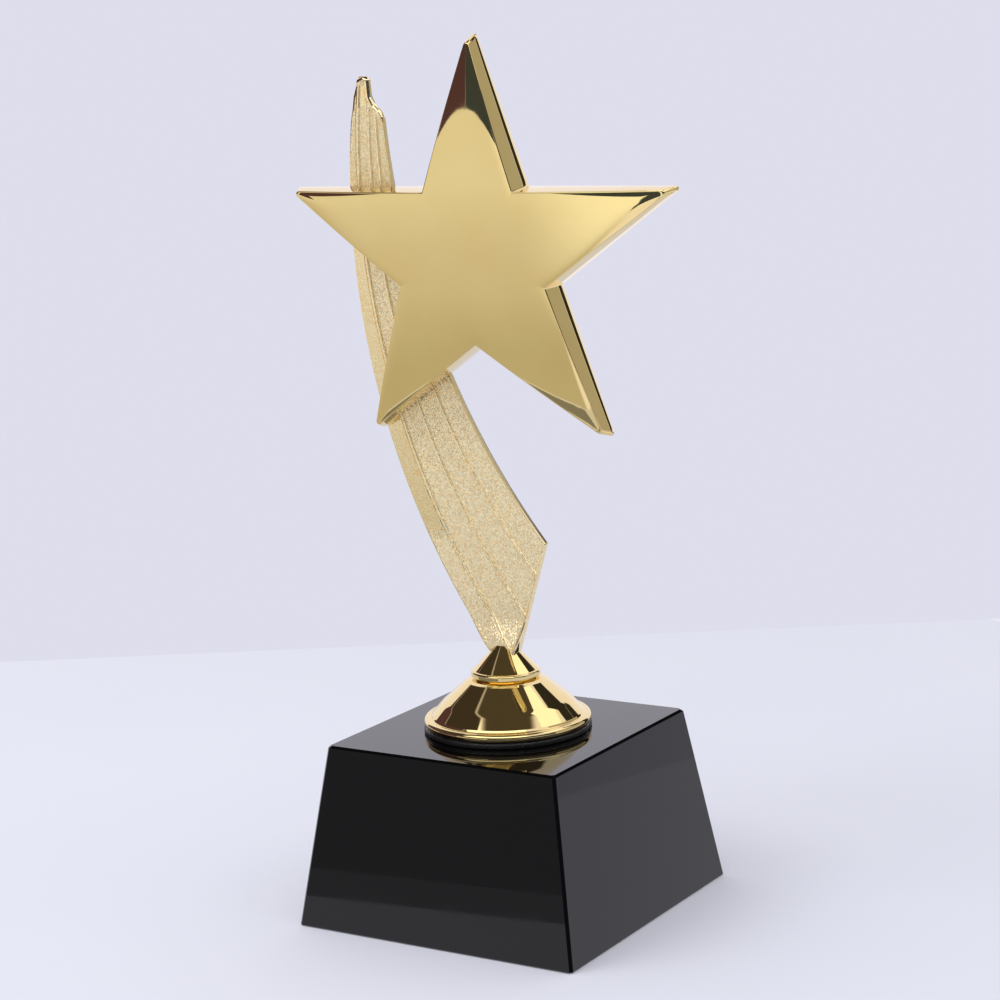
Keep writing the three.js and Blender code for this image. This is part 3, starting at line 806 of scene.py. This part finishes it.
def ribbon_relief(x, heights, right, to_end):
    """How far the front stands above the bands' floor at each point, from 0 to 1: the ribs and borders."""
    first_rib = arc_x(RIBBON_RIBS[0], heights)
    relief = np.zeros_like(x)
    for arc in RIBBON_RIBS:
        across = np.clip(np.abs(x - arc_x(arc, heights)) / (RIB_WIDTH / 2), 0, 1)
        relief = np.maximum(relief, 1 - across**4)
    border_width = np.where(heights < RIBBON_CORNER_Z, LOW_BORDER, BORDER)
    near_right = np.where(x > first_rib, right[:, None] - x, OUT_OF_REACH)
    relief = np.maximum(relief, smoothstep(1.4 - near_right / border_width))
    return np.maximum(relief, fade_out(to_end, END_BORDER, END_BORDER_SLOPE))


def ribbon_depth(x, heights, right, to_end):
    """How far back the front lies at each point, before its grain and its rounded edges."""
    facet_edge = arc_x(RIBBON_RIBS[0], heights) - RIB_WIDTH / 2
    facet = np.clip(facet_edge - x, 0, None)
    bands = BAND_DEPTH * (1 - ribbon_relief(x, heights, right, to_end))
    slanted = facet * LEFT_FACET_SLOPE + BAND_DEPTH * LEFT_FACET_START
    depth = np.where(x < facet_edge, slanted, bands)
    return depth + np.where(facet > 0, np.clip(heights - END_FACET_Z, 0, None) * END_FACET_SLOPE, 0)


def ribbon():
    """The ribbon as a loft of closed sections, one for each height, from the root to the end, and the
    strength of the grain at each of its points."""
    apex_z = RIBBON_RIGHT_TOP_Z + RIBBON_APEX[1]
    z = np.concatenate([
        np.arange(RIBBON_ROOT_Z, RIBBON_RIGHT_TOP_Z, ROW_STEP),
        np.arange(RIBBON_RIGHT_TOP_Z, apex_z - 0.05, ROW_STEP / 2),
    ])
    left, right = ribbon_limits(z)
    right = np.where(z > RIBBON_CORNER_Z + 5, softened(right, 4), right)
    left = np.where(z > RIBBON_RIGHT_TOP_Z, softened(left, 3), left)
    right = np.maximum(right, left + NARROWEST)
    x = column_places(z, left, right)
    heights = z[:, None] * np.ones_like(x)
    to_end = distance_to_end(x, heights)
    from_edge = np.minimum(np.minimum(x - left[:, None], right[:, None] - x), to_end)
    grain = grain_field(x, heights) * fade_in(from_edge, *GRAIN_FREE_EDGE)
    edge_round = EDGE_ROUND + END_ROUND * fade_in(heights, END_ROUND_FROM_Z, END_ROUND_OVER)
    depth = ribbon_depth(x, heights, right, to_end)
    depth += GRAIN_DEPTH * grain * random.uniform(-1, 1, x.shape)
    depth += rounding(from_edge, edge_round)
    depth -= ROOT_FLARE * fade_out(heights, FLARE_TOP_Z, FLARE_TOP_Z - FLARE_FULL_Z)
    front = np.stack([x, depth, heights], -1)
    back = slice(None, None, -BACK_COLUMN_STEP)
    back_round = rounding(from_edge[:, back], edge_round[:, back] * BACK_EDGE_SHARE)
    rear = np.stack([x[:, back], RIBBON_THICKNESS - back_round, heights[:, back]], -1)
    surface = loft(np.concatenate([front, rear], 1))
    strength = np.concatenate([grain, np.zeros_like(x[:, back])], 1).reshape(-1)
    return surface, np.append(strength, [0, 0])


def distance_to_end(x, z):
    """How far each point of the front is from the ribbon's stepped end."""
    left_top = (arc_x(RIBBON_LEFT_EDGE, RIBBON_LEFT_TOP_Z), RIBBON_LEFT_TOP_Z)
    line = [*end_line(), left_top]
    nearest = np.full_like(x, OUT_OF_REACH)
    for (x0, z0), (x1, z1) in zip(line, line[1:]):
        run = x1 - x0
        rise = z1 - z0
        share = np.clip(((x - x0) * run + (z - z0) * rise) / (run**2 + rise**2), 0, 1)
        nearest = np.minimum(nearest, np.hypot(x - x0 - share * run, z - z0 - share * rise))
    return nearest


def rounding(from_edge, radius):
    """How far an edge rounded to a radius falls away at a distance from it."""
    near = np.clip(1 - from_edge / radius, 0, 1)
    return radius * (1 - np.sqrt(1 - near**2))


# ---------------------------------------------------------------------------------------------- star

TIP_ROUND = 0.75
NOTCH_ROUND = 0.5
EDGE_FALL = 0.34  # how far the face rolls down towards its edge
EDGE_REACH = 1.1
FACE_EDGE_ROUND = 0.3
BACK_CHAMFER = 0.15
OUTLINE_STEP = 0.95
MIDDLE_SHARE = 0.97  # how far in, towards the middle, the flat rings reach before they close on a pole
COVER_GAP = 0.12
COVER_EDGE = 0.35
COVER_BACK_Z = 0.02
COVER_FRONT_Z = COVER_THICKNESS - 0.05
PAD_BORE_RADIUS = 1.7
PAD_TOP_Z = 0.5
PAD_SINK = 0.3  # how far a pad reaches past the ribbon's front plane, towards its recessed bands


def star_outline():
    """Points round the star's back edge, anticlockwise, with its tips and notches eased."""
    corners = []
    for corner in range(2 * STAR_POINTS):
        tip = corner % 2 == 0
        radius = STAR_TIP_RADIUS if tip else STAR_NOTCH_RADIUS
        angle = math.pi / 2 + STAR_TURN + corner * math.pi / STAR_POINTS
        fillet = TIP_ROUND if tip else NOTCH_ROUND
        corners.append((radius * math.cos(angle), radius * math.sin(angle), fillet))
    coarse = rounded(corners, 4)
    fine = []
    for here, ahead in zip(coarse, np.roll(coarse, -1, axis=0)):
        steps = max(1, round(np.linalg.norm(ahead - here) / OUTLINE_STEP))
        for step in range(steps):
            fine.append(here + (ahead - here) * step / steps)
    return np.array(fine)


OUTLINE = star_outline()
STAR_HALF_ANGLE = math.pi / STAR_POINTS
STAR_EDGE = math.hypot(
    STAR_TIP_RADIUS - STAR_NOTCH_RADIUS * math.cos(STAR_HALF_ANGLE),
    STAR_NOTCH_RADIUS * math.sin(STAR_HALF_ANGLE),
)
STAR_EDGE_DISTANCE = STAR_TIP_RADIUS * STAR_NOTCH_RADIUS * math.sin(STAR_HALF_ANGLE) / STAR_EDGE


def star_ring(inset, height):
    """The outline drawn in by inset, at a height that is a number or an array."""
    flat = OUTLINE * (STAR_EDGE_DISTANCE - inset) / STAR_EDGE_DISTANCE
    return np.column_stack([flat, np.broadcast_to(height, len(flat))])


def dome(inset, crown):
    """The height of the face's sphere over a ring."""
    reach = np.linalg.norm(OUTLINE, axis=1) * (STAR_EDGE_DISTANCE - inset) / STAR_EDGE_DISTANCE
    return crown - (STAR_FACE_RADIUS - np.sqrt(STAR_FACE_RADIUS**2 - reach**2))


def face_height(inset):
    """The face over a ring: the sphere, less the roll towards the edge, which is stronger on the arms."""
    outward = np.linalg.norm(OUTLINE, axis=1)
    arm = smoothstep((outward - STAR_NOTCH_RADIUS) / (STAR_TIP_RADIUS - STAR_NOTCH_RADIUS) * 1.2)
    fall = EDGE_FALL * (0.3 + 0.7 * arm)
    return dome(inset, STAR_DEPTH) - fall * math.exp(-(inset - STAR_DRAFT) / EDGE_REACH)


def star_shell():
    """The shell: the pocket, the ledge for the cover, the lip, the wall and the rolled, bulged face."""
    floor_inset = STAR_WALL + STAR_DRAFT
    rings = []
    for inset in np.linspace(STAR_EDGE_DISTANCE * MIDDLE_SHARE, floor_inset, 14):
        rings.append(star_ring(inset, dome(inset, STAR_DEPTH - STAR_WALL)))
    rings.append(star_ring(STAR_WALL, COVER_THICKNESS))
    rings.append(star_ring(STAR_LEDGE, COVER_THICKNESS))
    rings.append(star_ring(STAR_LEDGE, 0.1))
    rings.append(star_ring(STAR_LEDGE - 0.1, 0))
    rings.append(star_ring(BACK_CHAMFER, 0))
    rings.append(star_ring(BACK_CHAMFER * 0.3, BACK_CHAMFER * 0.3))
    rings.append(star_ring(0, BACK_CHAMFER))
    edge_inset = STAR_DRAFT + FACE_EDGE_ROUND
    edge = face_height(edge_inset)
    for share in (0.35, 0.7):
        rings.append(star_ring(STAR_DRAFT * share, BACK_CHAMFER + (edge - BACK_CHAMFER) * share))
    for angle in np.radians([0, 25, 50, 72]):
        inset = STAR_DRAFT + FACE_EDGE_ROUND * (1 - math.cos(angle))
        rings.append(star_ring(inset, edge - FACE_EDGE_ROUND * (1 - math.sin(angle))))
    for share in np.linspace(0, 0.985, 44):
        inset = edge_inset + (STAR_EDGE_DISTANCE - edge_inset) * share**1.7
        rings.append(star_ring(inset, face_height(inset)))
    return loft(rings, poles=[(0, 0, STAR_DEPTH - STAR_WALL), (0, 0, STAR_DEPTH)])


def on_star(x, z):
    """A screw's place on the star's back, in the star's frame."""
    return x - STAR_CENTRE_X, (z - STAR_CENTRE_Z) / math.cos(STAR_LEAN)


def stand_off(z):
    """How far the star's back stands off the ribbon at a height, along the star's depth."""
    return (-STAR_BACK_Y + (z - STAR_CENTRE_Z) * math.tan(STAR_LEAN)) / math.cos(STAR_LEAN)


def star_back_cover():
    """The plate that closes the star, with an eased edge and the two pads that stand on the ribbon."""
    edge = STAR_LEDGE + COVER_GAP
    middle = STAR_EDGE_DISTANCE * MIDDLE_SHARE
    rings = [star_ring(inset, COVER_BACK_Z) for inset in np.linspace(middle, edge + COVER_EDGE, 12)]
    rings.append(star_ring(edge + 0.1, 0.1))
    rings.append(star_ring(edge, COVER_EDGE))
    rings.append(star_ring(edge, COVER_FRONT_Z))
    rings += [star_ring(inset, COVER_FRONT_Z) for inset in np.linspace(edge + 0.2, middle, 8)]
    surfaces = [loft(rings, poles=[(0, 0, COVER_BACK_Z), (0, 0, COVER_FRONT_Z)])]
    for x, z in STAR_SCREWS.values():
        place_x, place_y = on_star(x, z)
        bottom = -stand_off(z) - BOSS_RADIUS * math.tan(STAR_LEAN) - PAD_SINK
        pad = lathe(rounded([
            (PAD_BORE_RADIUS, bottom, 0), (BOSS_RADIUS, bottom, 0),
            (BOSS_RADIUS, PAD_TOP_Z, 0), (PAD_BORE_RADIUS, PAD_TOP_Z, 0),
        ]), sides=64)
        surfaces.append(moved(pad, place_x, place_y))
    return joined(*surfaces)


RECESS_LENGTH = 1.55  # half an arm of the cross, before its taper
RECESS_WIDTH = 0.4
RECESS_DEPTH = 1.1
RECESS_TAPER = [(RECESS_DEPTH, 0.55), (-1, 1.25)]  # height from the crown, and the bar's size there
RECESS_TURN = 0.5


def screw_solid(z):
    """A pan-head screw along the star's depth, and where its crown is."""
    seat = -(stand_off(z) + RIBBON_THICKNESS) + SCREW_HEAD_RADIUS * math.tan(STAR_LEAN)
    crown = seat - SCREW_HEAD_HEIGHT
    head = SCREW_HEAD_RADIUS
    return turned_solid([
        (0, crown), (head * 0.45, crown + 0.03), (head * 0.75, crown + 0.28), (head * 0.94, crown + 0.75),
        (head, crown + 1.2), (head, seat - 0.15), (head - 0.15, seat), (SCREW_RADIUS, seat),
        (SCREW_RADIUS, SCREW_BITE - 0.8), (0.4, SCREW_BITE), (0, SCREW_BITE),
    ]), crown


def wedge_bar(turn, crown):
    """A tapered bar, for cutting one arm of a cross recess up into a screw's head."""
    cos, sin = math.cos(turn), math.sin(turn)
    rings = []
    for up, share in RECESS_TAPER:
        length = RECESS_LENGTH * share
        width = RECESS_WIDTH * share
        corners = [(-length, -width), (-length, width), (length, width), (length, -width)]
        rings.append([(x * cos - y * sin, x * sin + y * cos, crown + up) for x, y in corners])
    return loft(rings)


def cut_away(piece, cutter):
    """Cuts one object out of another for good."""
    modifier = piece.modifiers.new("cut", "BOOLEAN")
    modifier.object = cutter
    modifier.operation = "DIFFERENCE"
    graph = bpy.context.evaluated_depsgraph_get()
    result = bpy.data.meshes.new_from_object(piece.evaluated_get(graph))
    piece.modifiers.clear()
    piece.data = result
    bpy.data.objects.remove(cutter)


def star_screw(name):
    x, z = STAR_SCREWS[name]
    solid, crown = screw_solid(z)
    place = STAR @ Matrix.Translation((*on_star(x, z), 0))
    piece = mesh_piece(name + "_fine", solid, place)
    for turn in (RECESS_TURN, RECESS_TURN + math.pi / 2):
        cutter = mesh_piece("cutter", wedge_bar(turn, crown), place)
        cut_away(piece, cutter)
    return piece


# ----------------------------------------------------------------------------------- light and stage

# Patches of the surroundings as only reflections see them, later ones over earlier ones. Azimuth is
# measured from -Y towards +X. Each has its middle, half its size and its soft edge, in degrees.
SURROUNDINGS = [
    # azimuth, half, elevation, half, edge, colour
    ("low_world", 0, 180, -62, 34, 6, (0.5, 0.47, 0.42)),
    ("panel_low", -45, 48, -8, 27, 6, (0.57, 0.54, 0.46)),
    ("panel_middle", -45, 48, 2, 17, 11, (0.72, 0.69, 0.65)),
    ("panel_high", -45, 48, 8, 13, 11, (0.86, 0.84, 0.8)),
    ("panel_right", 7, 15, 8, 18, 14, (1.15, 1.15, 1.1)),
    ("room_left", -76, 34, 14, 15, 0.4, (0.09, 0.045, 0.065)),
    ("room_over_panel_left", -43.4, 23.6, 18, 11, 0.4, (0.09, 0.045, 0.065)),
    ("room_over_panel_right", 40.1, 59.9, 18, 11, 0.4, (0.05, 0.065, 0.08)),
    ("room_right", 51.5, 48.5, 10, 19, 0.4, (0.05, 0.065, 0.08)),
    ("overhead", 0, 180, 80, 20, 5, (0.075, 0.062, 0.045)),
    ("front_softbox", 8, 53, 44, 14, 5, (2.0, 1.95, 1.85)),
    ("right_softbox", 127, 20, 52.5, 12.5, 1, (1.4, 1.35, 1.3)),
    ("book_side", 129, 29, 17.5, 17.5, 2, (0.46, 0.44, 0.38)),
    ("right_floor_glow", 137, 38, -6, 6, 2, (0.62, 0.62, 0.7)),
    ("bell_left_flag", -75, 37, 44, 15, 3, (0.05, 0.04, 0.032)),
    ("bell_flag", 158, 11, 38, 12, 1, (0.03, 0.028, 0.025)),
    ("ribbon_flag", 165.5, 6.5, 8, 18, 1, (0.03, 0.028, 0.025)),
]
BASE_GLOW = (1.0, 0.97, 1.08)
BACKDROP = (0.73, 0.73, 0.84)
AMBIENT = (0.98, 0.98, 1.0)


class Sky(Nodes):
    """The world's node tree, with the direction's azimuth and elevation in degrees."""

    def __init__(self):
        world = bpy.data.worlds.new("studio")
        world.use_nodes = True
        bpy.context.scene.world = world
        super().__init__(world.node_tree)
        parts = self.node("ShaderNodeSeparateXYZ")
        self.join(self.node("ShaderNodeTexCoord").outputs["Generated"], parts.inputs[0])
        back = self.math("MULTIPLY", parts.outputs["Y"], -1)
        self.azimuth = self.math("DEGREES", self.math("ARCTAN2", parts.outputs["X"], back))
        self.elevation = self.math("DEGREES", self.math("ARCSINE", parts.outputs["Z"]))

    def inside(self, distance, half, edge):
        """1 within half of the middle, easing to 0 across the edge."""
        made = self.node("ShaderNodeMapRange", interpolation_type="SMOOTHSTEP")
        made.inputs["From Min"].default_value = half + edge / 2
        made.inputs["From Max"].default_value = half - edge / 2
        self.join(distance, made.inputs["Value"])
        return made.outputs["Result"]

    def patch(self, under, azimuth, half_width, elevation, half_height, edge, colour):
        """The colour under, with a patch of another colour over it."""
        up = self.math("ABSOLUTE", self.math("SUBTRACT", self.elevation, elevation))
        factor = self.inside(up, half_height, edge)
        if half_width < 180:
            turned = self.math("WRAP", self.math("SUBTRACT", self.azimuth, azimuth), 180, -180)
            beside = self.inside(self.math("ABSOLUTE", turned), half_width, edge)
            factor = self.math("MULTIPLY", factor, beside)
        return self.blend(factor, under, colour)


def studio_sky():
    """What polished surfaces see is a patterned studio; what the camera and matt surfaces see is plain."""
    sky = Sky()
    pattern = BASE_GLOW
    for _, *patch in SURROUNDINGS:
        pattern = sky.patch(pattern, *patch)
    path = sky.node("ShaderNodeLightPath")
    seen = sky.blend(path.outputs["Is Glossy Ray"], AMBIENT, pattern)
    seen = sky.blend(path.outputs["Is Camera Ray"], seen, BACKDROP)
    sky.join(seen, sky.tree.nodes["Background"].inputs["Color"])


CAMERA_AZIMUTH = math.radians(32.17)
CAMERA_ELEVATION = math.radians(10.59)
CAMERA_ROLL = math.radians(-2.49)
CAMERA_DISTANCE = 650
CAMERA_AIM_RIGHT = 0.4
CAMERA_AIM_Z = 105
SENSOR_WIDTH = 36
FOCAL_RATIO = 2.5929
TABLE_BACK_EDGE = 283
TABLE_REACH = 3000
CARD_AZIMUTH = math.radians(-32)
CARD_REACH = 230
LOW_CARD_DISTANCE = 140
LOW_CARD_HALF_WIDTH = 110
LOW_CARDS = [(0, 8, 0.36), (8, 46, 0.25)]  # bottom, top and brightness
TABLE_Z = -0.02
TABLE_CARD_GLOW = (0.72, 0.72, 0.8, 1)
SOFTBOX_SIZE = (0.7, 0.5)
SOFTBOX_PLACE = (-0.5, -0.6, 0.9)
SOFTBOX_AIM = (0, 0, 0.08)
SOFTBOX_POWER = 4


def toward_camera(azimuth, elevation):
    flat = math.cos(elevation)
    return Vector((math.sin(azimuth) * flat, -math.cos(azimuth) * flat, math.sin(elevation)))


def camera():
    data = bpy.data.cameras.new("camera")
    data.sensor_width = SENSOR_WIDTH
    data.lens = SENSOR_WIDTH * FOCAL_RATIO
    data.clip_start = 0.05
    back = toward_camera(CAMERA_AZIMUTH, CAMERA_ELEVATION)
    level = Vector((math.cos(CAMERA_AZIMUTH), math.sin(CAMERA_AZIMUTH), 0))
    upright = back.cross(level)
    cos, sin = math.cos(CAMERA_ROLL), math.sin(CAMERA_ROLL)
    right = level * cos + upright * sin
    up = upright * cos - level * sin
    place = level * CAMERA_AIM_RIGHT + Vector((0, 0, CAMERA_AIM_Z)) + back * CAMERA_DISTANCE
    matrix = Matrix((right, up, back)).transposed().to_4x4()
    matrix.translation = place * MM
    made = bpy.data.objects.new("camera", data)
    bpy.context.scene.collection.objects.link(made)
    made.matrix_world = matrix
    bpy.context.scene.camera = made


def table_plane(name, azimuth, reach):
    """A wide plane level with the table that ends behind the trophy and goes reach to its front."""
    front = toward_camera(azimuth, 0)
    side = Vector((math.cos(azimuth), math.sin(azimuth), 0))
    corners = [
        side * x + front * y for x, y in [
            (TABLE_REACH, -TABLE_BACK_EDGE), (TABLE_REACH, reach),
            (-TABLE_REACH, reach), (-TABLE_REACH, -TABLE_BACK_EDGE),
        ]
    ]
    return mesh_piece(name, ([(corner.x, corner.y, TABLE_Z) for corner in corners], [[0, 1, 2, 3]]))


def table():
    """The plain floor: a wide, pale, lacquered plane that ends behind the trophy."""
    plane = table_plane("table", CAMERA_AZIMUTH, TABLE_REACH)
    plane.data.materials.append(table_top())
    plane.visible_glossy = False


def table_card():
    """What polished metal and glass see of the table: a glowing card, hidden from the camera."""
    reflection_only(table_plane("table_card", CARD_AZIMUTH, CARD_REACH), TABLE_CARD_GLOW)


def low_cards():
    """Dim cards low in front of the plinth, which only reflections see, keep its front face black."""
    away = toward_camera(CARD_AZIMUTH, 0) * LOW_CARD_DISTANCE
    side = Vector((math.cos(CARD_AZIMUTH), math.sin(CARD_AZIMUTH), 0)) * LOW_CARD_HALF_WIDTH
    for index, (low, high, glow) in enumerate(LOW_CARDS):
        corners = [away - side, away + side, away + side, away - side]
        heights = [low, low, high, high]
        points = [(corner.x, corner.y, height) for corner, height in zip(corners, heights)]
        card = mesh_piece(f"low_card_{index}", (points, [[0, 1, 2, 3]]))
        reflection_only(card, (glow, glow, glow * 1.05, 1))


def reflection_only(card, colour):
    """Makes a card glow and hides it from everything but reflections."""
    glow = Shading(card.name + "_glow")
    glow.set(Base_Color=(0, 0, 0, 1), Specular_IOR_Level=0.0, Emission_Color=colour, Emission_Strength=1.0)
    card.data.materials.append(glow.material)
    card.visible_camera = False
    card.visible_diffuse = False
    card.visible_shadow = False


def softbox():
    """A broad lamp high on the left that gives the table its faint shadow."""
    data = bpy.data.lights.new("softbox", "AREA")
    data.shape = "RECTANGLE"
    data.size, data.size_y = SOFTBOX_SIZE
    data.energy = SOFTBOX_POWER
    lamp = bpy.data.objects.new("softbox", data)
    bpy.context.scene.collection.objects.link(lamp)
    place = Vector(SOFTBOX_PLACE)
    lamp.location = place
    lamp.rotation_mode = "QUATERNION"
    lamp.rotation_quaternion = (Vector(SOFTBOX_AIM) - place).to_track_quat("-Z", "Y")
    lamp.visible_glossy = False
    lamp.visible_camera = False


# ------------------------------------------------------------------------------------------ assembly


def ribbon_piece():
    surface, strength = ribbon()
    piece = mesh_piece("ribbon", surface, FIGURE, crease=60)
    grain = piece.data.attributes.new("grain", "FLOAT", "POINT")
    grain.data.foreach_set("value", strength.astype(np.float32))
    return piece


def build_trophy():
    gold = polished_gold()
    steel = plain_steel()
    rubber = black_rubber()
    finish_piece(mesh_piece("plinth_glass", plinth(), crease=15), black_glass(), "black_glass", "plinth")
    finish_piece(mesh_piece("gasket_ring", foot_gasket()), rubber, "black_rubber", "foot_gasket")
    finish_piece(mesh_piece("bell", bell_foot(), FIGURE), gold, "polished_gold", "bell_foot")
    finish_piece(mesh_piece("column_collar", collar(), FIGURE), gold, "polished_gold", "ribbon_column")
    finish_piece(ribbon_piece(), glitter_gold(), "glitter_gold", "ribbon_column")
    finish_piece(mesh_piece("star", star_shell(), STAR), gold, "polished_gold", "star_shell")
    cover = mesh_piece("star_cover", star_back_cover(), STAR)
    finish_piece(cover, gold, "polished_gold", "star_back_cover")
    for name in STAR_SCREWS:
        finish_piece(star_screw(name), steel, "plain_steel", name)
    finish_piece(mesh_piece("rod_thread", tie_rod()), steel, "plain_steel", "tie_rod")
    ring = mesh_piece("washer_rubber", washer("rubber_washer"))
    finish_piece(ring, rubber, "black_rubber", "rubber_washer")
    finish_piece(mesh_piece("washer_steel", washer("steel_washer")), steel, "plain_steel", "steel_washer")
    finish_piece(mesh_piece("washer_spring", spring_washer()), steel, "plain_steel", "spring_washer")
    finish_piece(mesh_piece("nut", hex_nut()), steel, "plain_steel", "hex_nut")
    finish_piece(mesh_piece("felt_disc", felt_plug()), dark_felt(), "dark_felt", "felt_plug")


camera()
studio_sky()
softbox()
table()
table_card()
low_cards()
build_trophy()
bpy.context.scene.view_settings.view_transform = "Standard"
